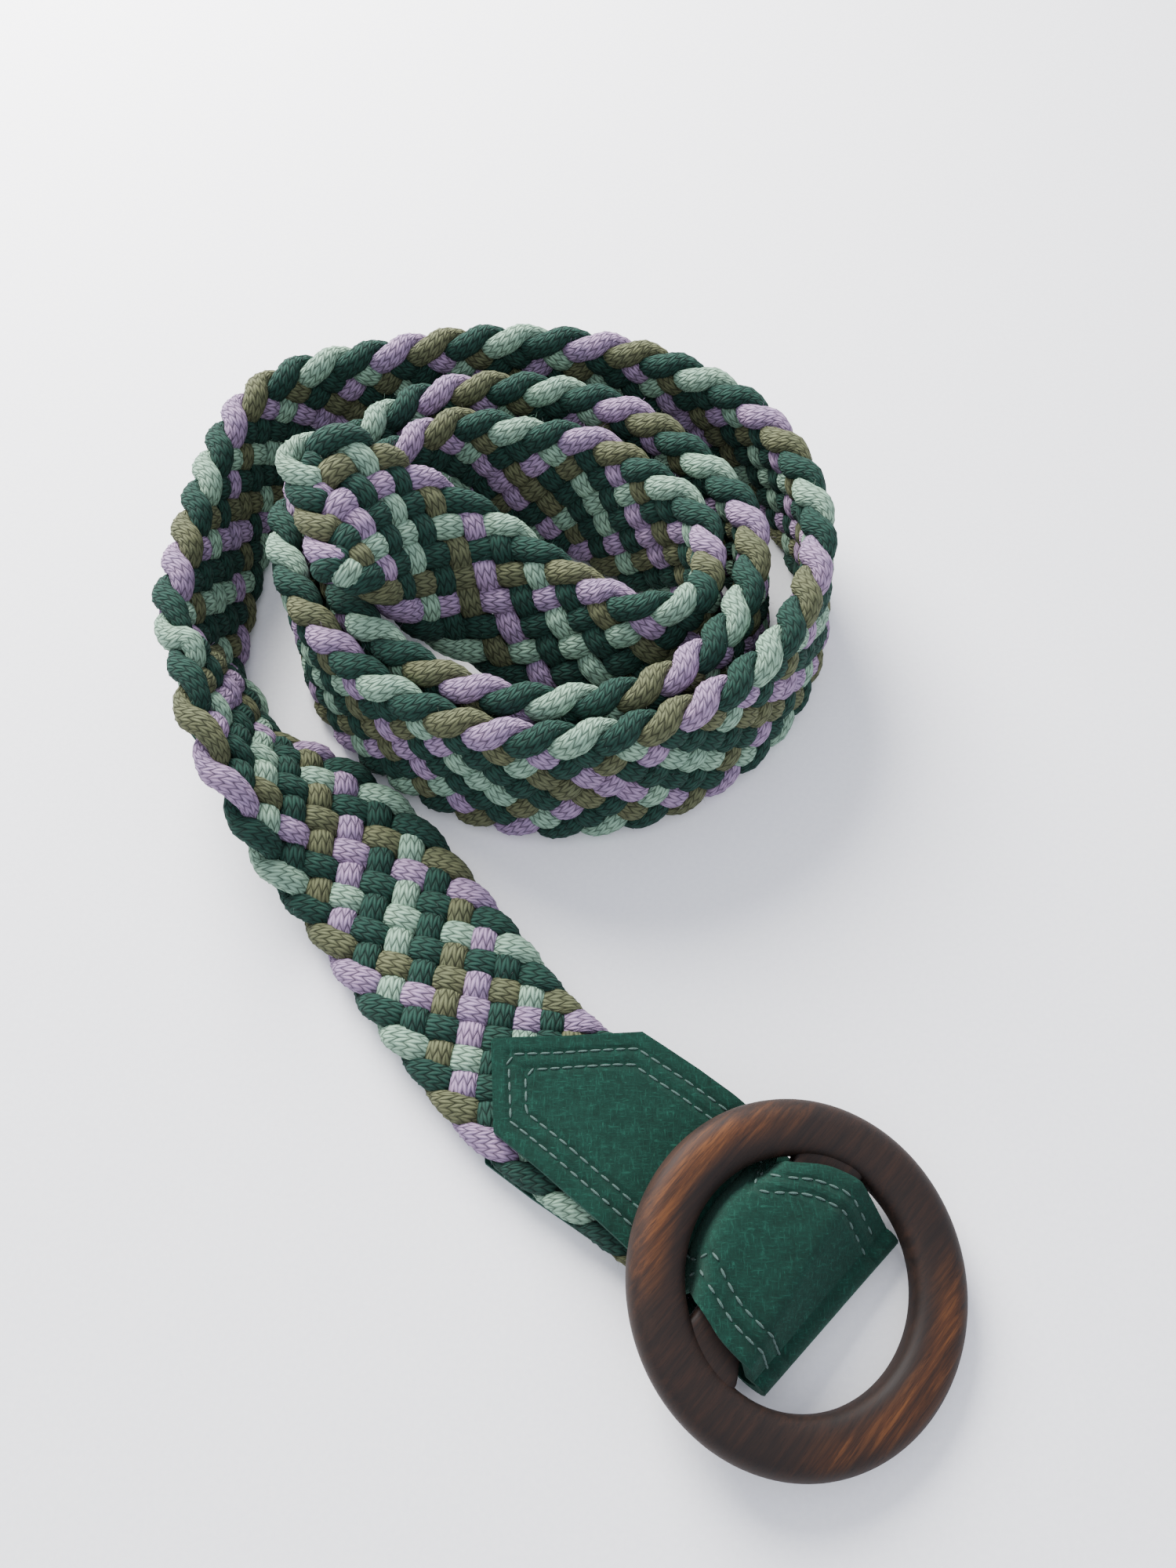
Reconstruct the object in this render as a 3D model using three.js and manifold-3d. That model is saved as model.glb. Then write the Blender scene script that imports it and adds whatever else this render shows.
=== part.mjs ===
// Plaited belt lying loosely coiled, with a folded felt strap and a wooden ring at its end.
// Millimetres, Z up. The origin is on the floor, under the middle of the whole belt.
import * as THREE from "three";
import { mergeVertices, toCreasedNormals } from "three/addons/utils/BufferGeometryUtils.js";
import Module from "manifold-3d";

const wasm = await Module();
wasm.setup();

// Plaited band.
const band_width = 38.5;
const band_thickness = 8.2;
const strand_pitch = 9.8;
const first_scallop = 2.0;
const scallop_depth = 1.0;
const end_corner = 14;
const end_spread = 0.1;
const turn_clearance = 0.6;
const coil_radius = 72;

// Felt strap, folded round the bar and sewn over the band's outer end.
const felt_thickness = 2.2;
const strap_width = 36.8;
const strap_reach = 75.6;
const strap_heading = -36.6;
const pressed_share = 0.79;
const end_pressed_share = 0.55;
const fold_reach = 8.1;
const climb_radius = 2;

// Wooden ring with its bar.
const ring_diameter = 67;
const ring_width = 11;
const ring_thickness = 8;
const ring_shoulder = 3.6;
const ring_inner_round = 1.6;
const bar_width = 11;
const bar_thickness = 4.5;
const bar_offset = -7.8;
const bar_round = 0.9;
const bar_flare = 2;
const band_end_to_ring = 15.25;
const band_end_side = 1.1;

const seat_clearance = 0.3;

// Values that follow from the sizes above.
const half_width = band_width / 2;
const pressed_thickness = band_thickness * pressed_share;
const felt_lift = felt_thickness + seat_clearance;
const strap_top = 2 * felt_lift + pressed_thickness;
const strap_end_top = 2 * felt_lift + band_thickness * end_pressed_share;
const layer_step = band_thickness + turn_clearance;
const ring_outer = ring_diameter / 2;
const ring_inner = ring_outer - ring_width;

// The tail, from the band's outer end to the coil. x and y are shares of coil_radius from
// the coil's middle, lift counts felt layers below the band, and lean is in degrees: 90 lies
// flat on the floor, 0 stands on edge.
const TAIL = [
  { x: 0.603, y: -2.158, lift: 1, lean: 90 },
  { x: 0.329, y: -1.956, lift: 1, lean: 90 },
  { x: 0.056, y: -1.756, lift: 1, lean: 90 },
  { x: -0.136, y: -1.542, lift: 1, lean: 90 },
  { x: -0.319, y: -1.313, lift: 0.35, lean: 90 },
  { x: -0.486, y: -1.097, lift: 0, lean: 88 },
  { x: -0.614, y: -0.972, lift: 0, lean: 78 },
  { x: -0.733, y: -0.867, lift: 0, lean: 58 },
  { x: -0.847, y: -0.767, lift: 0, lean: 37 },
  { x: -0.944, y: -0.639, lift: 0, lean: 22 },
  { x: -1.007, y: -0.472, lift: 0, lean: 14 },
  { x: -1.090, y: -0.264, lift: 0, lean: 10 },
];

// The turns, every 30 degrees clockwise from the left. reach is the outer turn's, slack2 and
// slack3 are the loose gaps inside it, all as shares of coil_radius, and lean3 is the third
// turn's lean. A tucked stretch also makes room for the flat tail that passes outside it.
const TURN = [
  { reach: 1.139, slack2: 0.247, slack3: 0.017, lean: 8, lean3: 8, tucked: 0 },
  { reach: 1.125, slack2: 0.300, slack3: 0.028, lean: 5, lean3: 5, tucked: 0 },
  { reach: 0.938, slack2: 0.136, slack3: 0.056, lean: 1, lean3: 5, tucked: 0 },
  { reach: 0.878, slack2: 0.124, slack3: 0.140, lean: -2, lean3: 12, tucked: 0 },
  { reach: 0.906, slack2: 0.153, slack3: 0.126, lean: -4, lean3: 17, tucked: 0 },
  { reach: 0.975, slack2: 0.188, slack3: 0.130, lean: -6, lean3: 16, tucked: 0 },
  { reach: 1.000, slack2: 0.106, slack3: 0.075, lean: -7, lean3: 4, tucked: 0 },
  { reach: 0.967, slack2: 0.047, slack3: 0.008, lean: -7, lean3: -7, tucked: 0 },
  { reach: 0.917, slack2: 0.008, slack3: 0.000, lean: -8, lean3: -8, tucked: 0 },
  { reach: 0.858, slack2: 0.012, slack3: 0.000, lean: -8, lean3: -8, tucked: 0 },
  { reach: 1.189, slack2: 0.002, slack3: 0.000, lean: -7, lean3: -7, tucked: 1 },
  { reach: 1.176, slack2: 0.003, slack3: 0.000, lean: -5, lean3: -5, tucked: 1 },
];
const full_turns = 2;
const last_turn_steps = 6;

// The third turn leaves the coil's wall. bearing is clockwise from the left.
const LEAVING = [
  { bearing: 205.2, reach: 0.912, lean: -8 },
  { bearing: 218.5, reach: 0.856, lean: -13 },
  { bearing: 228.4, reach: 0.768, lean: -21 },
  { bearing: 237.9, reach: 0.649, lean: -30 },
];

// It then crosses the coil and climbs on to the rims at the left. x and y are shares of
// coil_radius, rise is the lower edge's height as a share of band_width.
const CROSSING = [
  { x: 0.006, y: -0.220, rise: 0.05, lean: -37 },
  { x: -0.186, y: -0.131, rise: 0.24, lean: -46 },
  { x: -0.354, y: -0.106, rise: 0.60, lean: -58 },
  { x: -0.530, y: -0.132, rise: 1.05, lean: -69 },
  { x: -0.715, y: -0.190, rise: 1.14, lean: -79 },
];

// The strap's cut end and edges. along is a share of strap_reach from the ring's middle,
// near and far are its two edges as shares of strap_width. sink is how far the upper layer
// has come down from strap_top to strap_end_top, as the band thins out towards its end.
const UPPER_LAYER = [
  { along: -1.000, near: 0.025, far: 0.053, sink: 0 },
  { along: -0.843, near: -0.353, far: 0.308, sink: 0 },
  { along: -0.683, near: -0.361, far: 0.582, sink: 0 },
  { along: -0.500, near: -0.381, far: 0.599, sink: 0.1 },
  { along: -0.397, near: -0.396, far: 0.604, sink: 0.6 },
  { along: -0.320, near: -0.411, far: 0.599, sink: 0.9 },
  { along: -0.270, near: -0.421, far: 0.569, sink: 1 },
];
const LOWER_LAYER = [
  { along: -0.990, near: -0.111, far: -0.083 },
  { along: -0.833, near: -0.483, far: 0.178 },
  { along: -0.673, near: -0.476, far: 0.449 },
  { along: -0.397, near: -0.440, far: 0.555 },
  { along: -0.290, near: -0.451, far: 0.564 },
];
// The fold's line across the strap: its slant, edges and how far it stands open at each edge,
// as a share of strap_top.
const FOLD = { slant: 0.18, near: -0.535, far: 0.47, open_near: 1.00, open_far: 0.55 };

const radians = (degrees) => degrees * Math.PI / 180;
const mix = (a, b, share) => a + (b - a) * share;

function polar(bearing, reach) {
  const angle = radians(180 - bearing);
  return { x: reach * Math.cos(angle), y: reach * Math.sin(angle) };
}

// Rows {x, y, rise, lean} along the whole band, in millimetres from the coil's middle.
function routeRows() {
  const rows = TAIL.map((row) => ({
    x: row.x * coil_radius,
    y: row.y * coil_radius,
    rise: row.lift * felt_lift,
    lean: row.lean,
  }));
  const steps = full_turns * TURN.length + last_turn_steps;
  for (let step = 1; step <= steps; step += 1) {
    const row = TURN[step % TURN.length];
    const turn = Math.floor(step / TURN.length);
    let share = row.reach;
    if (turn > 0) share -= row.slack2;
    if (turn > 1) share -= row.slack3;
    const reach = share * coil_radius - turn * layer_step - row.tucked * (layer_step + half_width);
    const lean = turn > 1 ? row.lean3 : row.lean;
    rows.push({ ...polar(step * 360 / TURN.length, reach), rise: 0, lean });
  }
  for (const row of LEAVING) {
    const reach = row.reach * coil_radius - full_turns * layer_step;
    rows.push({ ...polar(row.bearing, reach), rise: 0, lean: row.lean });
  }
  for (const row of CROSSING) {
    rows.push({
      x: row.x * coil_radius,
      y: row.y * coil_radius,
      rise: row.rise * band_width,
      lean: row.lean,
    });
  }
  return rows;
}

function catmullRom(a, b, c, d, t) {
  const cubic = 3 * b - a - 3 * c + d;
  const square = 2 * a - 5 * b + 4 * c - d;
  return 0.5 * (2 * b + (c - a) * t + square * t * t + cubic * t * t * t);
}

// A smooth curve through the rows, as points with their lean.
function routeCurve(rows) {
  const keys = ["x", "y", "rise", "lean"];
  const steps = 16;
  const points = [];
  for (let k = 0; k < rows.length - 1; k += 1) {
    const last = rows.length - 1;
    for (let j = 0; j < (k === last - 1 ? steps + 1 : steps); j += 1) {
      const at = {};
      for (const key of keys) {
        const b = rows[k][key];
        const c = rows[k + 1][key];
        const a = k > 0 ? rows[k - 1][key] : 2 * b - c;
        const d = k < last - 1 ? rows[k + 2][key] : 2 * c - b;
        at[key] = catmullRom(a, b, c, d, j / steps);
      }
      const standing = Math.abs(Math.cos(radians(at.lean)));
      const z = (half_width - band_thickness / 2) * standing + band_thickness / 2;
      points.push({ place: new THREE.Vector3(at.x, at.y, z + Math.max(0, at.rise)), lean: at.lean });
    }
  }
  return points;
}

// Stations every half pitch: place, direction, and the width and face directions.
function bandStations() {
  const curve = routeCurve(routeRows());
  const lengths = [0];
  for (let k = 1; k < curve.length; k += 1) {
    lengths.push(lengths[k - 1] + curve[k].place.distanceTo(curve[k - 1].place));
  }
  const total = lengths[lengths.length - 1];
  const spots = [0];
  for (let s = first_scallop; s < total - end_corner; s += strand_pitch / 2) spots.push(s);
  for (const share of [0.8, 0.5, 0.25, 0.1, 0.03, 0]) spots.push(total - end_corner * share);
  const at = (s) => {
    let k = 1;
    while (k < lengths.length - 1 && lengths[k] < s) k += 1;
    const share = (s - lengths[k - 1]) / (lengths[k] - lengths[k - 1]);
    const place = curve[k - 1].place.clone().lerp(curve[k].place, share);
    return { place, lean: mix(curve[k - 1].lean, curve[k].lean, share) };
  };
  return spots.map((s) => {
    const here = at(s);
    const ahead = at(Math.min(total, s + 0.5)).place;
    const behind = at(Math.max(0, s - 0.5)).place;
    const along = ahead.sub(behind).normalize();
    const left = new THREE.Vector3(-along.y, along.x, 0).normalize();
    const lean = radians(here.lean);
    const width = left.multiplyScalar(Math.sin(lean));
    width.z += Math.cos(lean);
    width.addScaledVector(along, -width.dot(along)).normalize();
    const face = along.clone().cross(width);
    return { s, left_over: total - s, place: here.place, width, face };
  });
}

// Half the band's width and thickness at a station.
function bandSize(station) {
  const turnings = (station.s - first_scallop) / strand_pitch;
  const loose = end_spread * (1 - THREE.MathUtils.smoothstep(station.left_over, 0, band_width));
  let half = half_width * (1 + loose);
  half -= scallop_depth * (0.5 - 0.5 * Math.cos(2 * Math.PI * turnings));
  const short = Math.max(0, end_corner - station.left_over);
  half -= end_corner - Math.sqrt(end_corner ** 2 - short ** 2);
  const cover = strap_reach - band_end_to_ring + 2;
  const swell = THREE.MathUtils.smoothstep(station.s, cover, cover + band_width / 3);
  const thin = 1 - THREE.MathUtils.smoothstep(station.s, ring_inner / 4, ring_outer);
  let thickness = mix(pressed_thickness, band_thickness, swell);
  thickness = mix(thickness, band_thickness * end_pressed_share, thin);
  const blunt = Math.max(0, 1 - station.left_over / (band_thickness / 2));
  thickness *= Math.sqrt(1 - 0.8 * blunt * blunt);
  return { half, half_thickness: thickness / 2, shift: (thickness - band_thickness) / 2 };
}

// Corner points of the band's rounded section, as shares of its round edge and flat faces.
function bandSection(station) {
  const { half, half_thickness, shift } = bandSize(station);
  const flat = half - half_thickness;
  const points = [];
  for (const side of [1, -1]) {
    for (const turn of [-90, -45, 0, 45, 90]) {
      const angle = radians(turn);
      const across = side * (flat + half_thickness * Math.cos(angle));
      points.push([across, side * half_thickness * Math.sin(angle)]);
    }
    points.push([0, side * half_thickness]);
  }
  const lower = station.left_over > band_width ? shift : 0;
  return points.map(([across, out]) => station.place.clone()
    .addScaledVector(station.width, across)
    .addScaledVector(station.face, out + lower));
}

// A closed solid through rings of points, with flat ends.
function skin(rings) {
  const count = rings[0].length;
  const positions = rings.flat().flatMap((point) => [point.x, point.y, point.z]);
  const faces = [];
  for (let r = 0; r < rings.length - 1; r += 1) {
    for (let k = 0; k < count; k += 1) {
      const a = r * count + k;
      const b = r * count + (k + 1) % count;
      faces.push(a, b, b + count, a, b + count, a + count);
    }
  }
  const end = (rings.length - 1) * count;
  for (let k = 1; k < count - 1; k += 1) {
    faces.push(0, k + 1, k);
    faces.push(end, end + k, end + k + 1);
  }
  const geometry = new THREE.BufferGeometry();
  geometry.setAttribute("position", new THREE.Float32BufferAttribute(positions, 3));
  geometry.setIndex(faces);
  return geometry;
}

function bandGeometry() {
  return skin(bandStations().map(bandSection));
}

// The strap's and ring's own directions: along the strap, and across it to the far edge.
const strap_along = new THREE.Vector3(Math.cos(radians(strap_heading)), Math.sin(radians(strap_heading)), 0);
const strap_across = new THREE.Vector3(-strap_along.y, strap_along.x, 0);
const ring_place = new THREE.Vector3(TAIL[0].x * coil_radius, TAIL[0].y * coil_radius, 0)
  .addScaledVector(strap_along, band_end_to_ring)
  .addScaledVector(strap_across, -band_end_side);
// The ring's free side is on the floor and its other side leans on the strap.
const bar_start = bar_offset - bar_width / 2;
const bar_end = bar_offset + bar_width / 2;
const lean_reach = felt_thickness + 2 * seat_clearance - bar_start;
const foot_reach = ring_outer - ring_shoulder;
const ring_tilt = Math.asin((strap_end_top + seat_clearance) / (foot_reach + lean_reach));
const ring_height = foot_reach * Math.sin(ring_tilt) + ring_shoulder
  + (ring_thickness / 2 - ring_shoulder) * Math.cos(ring_tilt);

// A point of the bar's section, seen across the strap: its place along the strap and height.
function barPoint(along, out) {
  return {
    along: along * Math.cos(ring_tilt) + out * Math.sin(ring_tilt),
    z: ring_height - along * Math.sin(ring_tilt) + out * Math.cos(ring_tilt),
  };
}

// Half the room that the ring's opening leaves across the strap at a place in it.
function roomAt(along, z) {
  const inside = along * Math.cos(ring_tilt) - (z - ring_height) * Math.sin(ring_tilt);
  return Math.sqrt(ring_inner ** 2 - inside ** 2) - 3 * seat_clearance;
}

// The strap's middle surface, a row per section from the lower tip round the fold to the upper.
function strapRows() {
  const half_felt = felt_thickness / 2;
  const gap = 2 * seat_clearance + half_felt;
  const layerRow = (row, z) => ({
    along: row.along * strap_reach,
    slant: 0,
    near: row.near * strap_width,
    far: row.far * strap_width,
    z_near: z,
    z_far: z,
  });
  // share is how far the section is on from the sewn part towards the fold.
  const edges = (share) => ({
    slant: FOLD.slant * share * share,
    near: mix(UPPER_LAYER.at(-1).near, FOLD.near, share) * strap_width,
    far: mix(UPPER_LAYER.at(-1).far, FOLD.far, share) * strap_width,
  });
  const section = (along, share, z_near, z_far = z_near) => ({ along, ...edges(share), z_near, z_far });
  // Inside the ring's opening the strap is gathered to the room that it has.
  const threaded = (along, share, z) => {
    const row = section(along, share, z);
    const room = roomAt(along - half_felt, z + half_felt);
    return { ...row, slant: 0, near: Math.max(row.near, -room), far: Math.min(row.far, room) };
  };

  const rows = LOWER_LAYER.map((row) => layerRow(row, half_felt));
  rows.push(section(bar_start, 0.4, half_felt));
  rows.push(section(bar_end, 0.8, half_felt));

  const open_near = FOLD.open_near * strap_top - felt_thickness;
  const open_far = FOLD.open_far * strap_top - felt_thickness;
  const bulge = 0.26 * strap_top;
  for (let turn = -90; turn <= 90; turn += 22.5) {
    const up = (1 + Math.sin(radians(turn))) / 2;
    const out = Math.cos(radians(turn)) * bulge;
    rows.push(section(fold_reach - bulge + out, 1, half_felt + open_near * up, half_felt + open_far * up));
  }

  const top_end = barPoint(bar_end, bar_thickness / 2);
  const top_start = barPoint(bar_start, bar_thickness / 2);
  const under_start = barPoint(bar_start, -bar_thickness / 2);
  for (const turn of [40, 80]) {
    const along = top_end.along + gap * Math.cos(radians(turn));
    rows.push(threaded(along, 0.75, top_end.z + gap * Math.sin(radians(turn))));
  }
  rows.push(threaded((top_end.along + top_start.along) / 2, 0.55, (top_end.z + top_start.z) / 2 + gap));
  for (const turn of [95, 120, 150, 175]) {
    const along = top_start.along + gap * Math.cos(radians(turn));
    rows.push(threaded(along, 0.4, top_start.z + gap * Math.sin(radians(turn))));
  }
  const flat_z = strap_end_top - half_felt;
  for (const turn of [0, -30, -60, -90]) {
    const back = gap + climb_radius * (1 - Math.cos(radians(turn)));
    const up = climb_radius * (1 + Math.sin(radians(turn)));
    rows.push(threaded(under_start.along - back, 0.3, flat_z + up));
  }

  for (const row of UPPER_LAYER.toReversed()) {
    rows.push(layerRow(row, mix(strap_top, strap_end_top, row.sink) - half_felt));
  }
  return rows;
}

// A wall of felt round a grid of middle points.
function wall(grid, thickness) {
  const rows = grid.length;
  const columns = grid[0].length;
  const normal = (r, c) => {
    const along = grid[Math.min(r + 1, rows - 1)][c].clone().sub(grid[Math.max(r - 1, 0)][c]);
    const across = grid[r][columns - 1].clone().sub(grid[r][0]);
    return along.cross(across).normalize();
  };
  const positions = [];
  for (const side of [1, -1]) {
    for (let r = 0; r < rows; r += 1) {
      for (let c = 0; c < columns; c += 1) {
        const point = grid[r][c].clone().addScaledVector(normal(r, c), side * thickness / 2);
        positions.push(point.x, point.y, point.z);
      }
    }
  }
  const front = (r, c) => r * columns + c;
  const back = (r, c) => rows * columns + front(r, c);
  const faces = [];
  const rim = (p, q) => {
    const offset = rows * columns;
    faces.push(q, p, p + offset, q, p + offset, q + offset);
  };
  for (let r = 0; r < rows - 1; r += 1) {
    for (let c = 0; c < columns - 1; c += 1) {
      faces.push(front(r, c), front(r + 1, c), front(r + 1, c + 1));
      faces.push(front(r, c), front(r + 1, c + 1), front(r, c + 1));
      faces.push(back(r, c), back(r + 1, c + 1), back(r + 1, c));
      faces.push(back(r, c), back(r, c + 1), back(r + 1, c + 1));
    }
    rim(front(r, 0), front(r + 1, 0));
    rim(front(r + 1, columns - 1), front(r, columns - 1));
  }
  for (let c = 0; c < columns - 1; c += 1) {
    rim(front(0, c + 1), front(0, c));
    rim(front(rows - 1, c), front(rows - 1, c + 1));
  }
  const geometry = new THREE.BufferGeometry();
  geometry.setAttribute("position", new THREE.Float32BufferAttribute(positions, 3));
  geometry.setIndex(faces);
  return geometry;
}

function strapGeometry() {
  const grid = strapRows().map((row) => [0, 0.25, 0.5, 0.75, 1].map((share) => {
    const across = mix(row.near, row.far, share);
    const z = mix(row.z_near, row.z_far, share);
    return ring_place.clone()
      .addScaledVector(strap_along, row.along + row.slant * across)
      .addScaledVector(strap_across, across)
      .setZ(z);
  }));
  return wall(grid, felt_thickness);
}

function toSolid(geometry) {
  const bare = geometry.clone();
  bare.deleteAttribute("normal");
  bare.deleteAttribute("uv");
  const merged = mergeVertices(bare, 1e-4);
  return new wasm.Manifold(new wasm.Mesh({
    numProp: 3,
    vertProperties: new Float32Array(merged.attributes.position.array),
    triVerts: new Uint32Array(merged.index.array),
  }));
}

function fromSolid(solid) {
  const mesh = solid.getMesh();
  const geometry = new THREE.BufferGeometry();
  geometry.setAttribute("position", new THREE.Float32BufferAttribute(mesh.vertProperties, 3));
  geometry.setIndex(new THREE.Uint32BufferAttribute(mesh.triVerts, 1));
  return geometry;
}

// The ring's turned section: a full outer shoulder and a lightly eased inner edge.
function ringBody() {
  const half = ring_thickness / 2;
  const profile = [];
  const round = (radius, z, size, from) => {
    for (let step = 0; step <= 4; step += 1) {
      const angle = radians(from + step * 22.5);
      profile.push(new THREE.Vector2(radius + size * Math.cos(angle), z + size * Math.sin(angle)));
    }
  };
  round(ring_outer - ring_shoulder, ring_shoulder - half, ring_shoulder, -90);
  round(ring_outer - ring_shoulder, half - ring_shoulder, ring_shoulder, 0);
  round(ring_inner + ring_inner_round, half - ring_inner_round, ring_inner_round, 90);
  round(ring_inner + ring_inner_round, ring_inner_round - half, ring_inner_round, 180);
  profile.push(profile[0].clone());
  return new THREE.LatheGeometry(profile, 80).rotateX(Math.PI / 2);
}

// The flat bar, flared where it meets the ring, with eased long edges.
function barBody() {
  const half = bar_width / 2 - bar_round;
  const tip = Math.sqrt((ring_inner + ring_width / 2) ** 2 - bar_offset ** 2);
  const root = Math.sqrt(ring_inner ** 2 - bar_offset ** 2) - 2 * bar_flare;
  const wide = half + bar_flare;
  const outline = new THREE.Shape();
  outline.moveTo(-half, -root);
  outline.quadraticCurveTo(-half, -root - 2 * bar_flare, -wide, -root - 2 * bar_flare);
  outline.lineTo(-wide, -tip);
  outline.lineTo(wide, -tip);
  outline.lineTo(wide, -root - 2 * bar_flare);
  outline.quadraticCurveTo(half, -root - 2 * bar_flare, half, -root);
  outline.lineTo(half, root);
  outline.quadraticCurveTo(half, root + 2 * bar_flare, wide, root + 2 * bar_flare);
  outline.lineTo(wide, tip);
  outline.lineTo(-wide, tip);
  outline.lineTo(-wide, root + 2 * bar_flare);
  outline.quadraticCurveTo(-half, root + 2 * bar_flare, -half, root);
  const body = new THREE.ExtrudeGeometry(outline, {
    depth: bar_thickness - 2 * bar_round,
    bevelThickness: bar_round,
    bevelSize: bar_round,
    bevelSegments: 3,
    curveSegments: 6,
  });
  return body.translate(bar_offset, 0, bar_round - bar_thickness / 2);
}

function ringGeometry() {
  const geometry = fromSolid(toSolid(ringBody()).add(toSolid(barBody())));
  geometry.rotateY(ring_tilt);
  geometry.rotateZ(radians(strap_heading));
  return geometry.translate(ring_place.x, ring_place.y, ring_height);
}

function material(name, color, roughness) {
  const made = new THREE.MeshStandardMaterial({ color, roughness, metalness: 0 });
  made.name = name;
  return made;
}

const plaited_cotton = material("plaited_cotton", "#4d6f5c", 0.95);
const wool_felt = material("wool_felt", "#14503e", 0.98);
const stained_wood = material("stained_wood", "#37200f", 0.5);

const group = new THREE.Group();
group.name = "plaited_belt";

function addPiece(name, geometry, finish, crease) {
  const shaded = toCreasedNormals(geometry, radians(crease));
  const mesh = new THREE.Mesh(shaded, finish);
  mesh.name = name;
  group.add(mesh);
}

addPiece("braid_band", bandGeometry(), plaited_cotton, 50);
addPiece("felt_strap", strapGeometry(), wool_felt, 40);
addPiece("ring_buckle", ringGeometry(), stained_wood, 35);

// Put the origin on the floor under the middle of the belt.
const bounds = new THREE.Box3().setFromObject(group);
const middle = bounds.getCenter(new THREE.Vector3());
for (const mesh of group.children) {
  mesh.geometry.translate(-middle.x, -middle.y, -bounds.min.z);
}

export default group;
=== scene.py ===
import bisect
import math
import random

import bmesh
import bpy
from mathutils import Matrix, Vector, noise

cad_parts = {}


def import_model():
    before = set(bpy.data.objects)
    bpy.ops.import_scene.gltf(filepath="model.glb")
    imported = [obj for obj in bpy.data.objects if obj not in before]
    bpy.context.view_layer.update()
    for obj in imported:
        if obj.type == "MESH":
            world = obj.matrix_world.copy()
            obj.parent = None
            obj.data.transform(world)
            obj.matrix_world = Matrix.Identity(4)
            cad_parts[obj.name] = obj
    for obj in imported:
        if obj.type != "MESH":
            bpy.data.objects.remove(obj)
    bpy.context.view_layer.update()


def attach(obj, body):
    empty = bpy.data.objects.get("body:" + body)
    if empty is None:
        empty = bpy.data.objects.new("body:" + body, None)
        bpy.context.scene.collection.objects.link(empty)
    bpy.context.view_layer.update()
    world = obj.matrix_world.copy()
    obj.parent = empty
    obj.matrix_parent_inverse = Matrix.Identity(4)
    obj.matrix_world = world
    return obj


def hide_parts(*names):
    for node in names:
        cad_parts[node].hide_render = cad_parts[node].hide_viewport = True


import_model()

MM = 0.001

# Sizes of the belt, in millimetres, as in the part's source.
BAND_WIDTH = 38.5
BAND_THICKNESS = 8.2
STRAND_PITCH = 9.8
END_CORNER = 14
END_SPREAD = 0.1
TURN_CLEARANCE = 0.6
COIL_RADIUS = 72
COIL_MIDDLE = Vector((-1.29, 65.37, 0))
FELT_THICKNESS = 2.2
STRAP_WIDTH = 36.8
STRAP_REACH = 75.6
STRAP_HEADING = math.radians(-36.6)
PRESSED_SHARE = 0.79
END_PRESSED_SHARE = 0.55
FOLD_REACH = 8.1
RING_DIAMETER = 67
RING_WIDTH = 11
RING_THICKNESS = 8
RING_SHOULDER = 3.6
BAR_WIDTH = 11
BAR_THICKNESS = 4.5
BAR_OFFSET = -7.8
BAR_FLARE = 2
BAND_END_TO_RING = 15.25
BAND_END_SIDE = 1.1
SEAT_CLEARANCE = 0.3

HALF_WIDTH = BAND_WIDTH / 2
FELT_LIFT = FELT_THICKNESS + SEAT_CLEARANCE
STRAP_TOP = 2 * FELT_LIFT + BAND_THICKNESS * PRESSED_SHARE
STRAP_END_TOP = 2 * FELT_LIFT + BAND_THICKNESS * END_PRESSED_SHARE
LAYER_STEP = BAND_THICKNESS + TURN_CLEARANCE
RING_OUTER = RING_DIAMETER / 2
RING_INNER = RING_OUTER - RING_WIDTH

# The plait: ten cords. The marks say which oval of the upper edge lies at which length.
STRANDS = 10
FIRST_OVAL_STRAND = 4
STRAND_START = 0.6
STRAND_STEP = 0.8
END_LOOP = 6.0
OVAL_MARKS = [
    # length along the band, ovals of the upper edge since the first, how many more at the lower
    (-9, -6.1, 0.4),
    (51, 0, 0.4),
    (58.5, 1, 0.45),
    (66.8, 2, 0.5),
    (75.5, 3, 0.55),
    (84.5, 4, 0.6),
    (94.5, 5, 0.65),
    (105.5, 6, 0.75),
    (116.5, 7, 0.85),
    (127.5, 8, 0.9),
    (137.5, 9, 0.9),
    (147, 10, 0.85),
    (242.5, 20, 0),
    (291, 25, 0),
    (321.5, 28, 0),
    (344.5, 30, 0),
    (396, 35, 0),
    (445, 40, 0),
    (495, 45, 0),
    (543.5, 50, 0),
    (590, 55, 0),
    (638, 60, 0),
    (784, 75, 0),
    (833, 80, 0),
    (884, 85, 0),
    (982, 95, 0),
    (1026.5, 100, 0),
    (1052.5, 103, 0),
    (1062.5, 104, 0),
    (1071.5, 105, 0),
    (1077.5, 106, 0),
    (1083, 107, 0),
    (1090.5, 108, 0),
    (1100, 109, 0),
    (1113, 110, 0),
    (1124.5, 111, 0),
    (1135.5, 112, 0),
    (1148, 113, 0),
    (1156, 114, 0),
    (1167, 115, 0),
    (1175.5, 116, 0),
    (1184, 117, 0),
    (1207, 119.6, 0),
]
CORD_HALF_WIDTH = 3.1
CORD_HALF_THICKNESS = 2.15
CORD_EDGE_HALF_WIDTH = 2.95
CORD_EDGE_ROUND = 2.65
CORD_TIP = 2.4
CORD_EDGE_INSET = 2.75
WEAVE_HEIGHT = 2.0
KNIT_WALES = 10
KNIT_RELIEF = 0.10
KNIT_GROOVE = 0.16
STITCH_PITCH = 2.1
FIBRES_PER_CORD = 1500
FIBRE_RADIUS = 0.028

# Where the photograph was taken from: right of and below the coil's middle, and above it.
CAMERA_FROM_COIL = (15.0, -190.0)
CAMERA_HEIGHT = 251
CAMERA_DOWN = math.radians(61.25)

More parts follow.
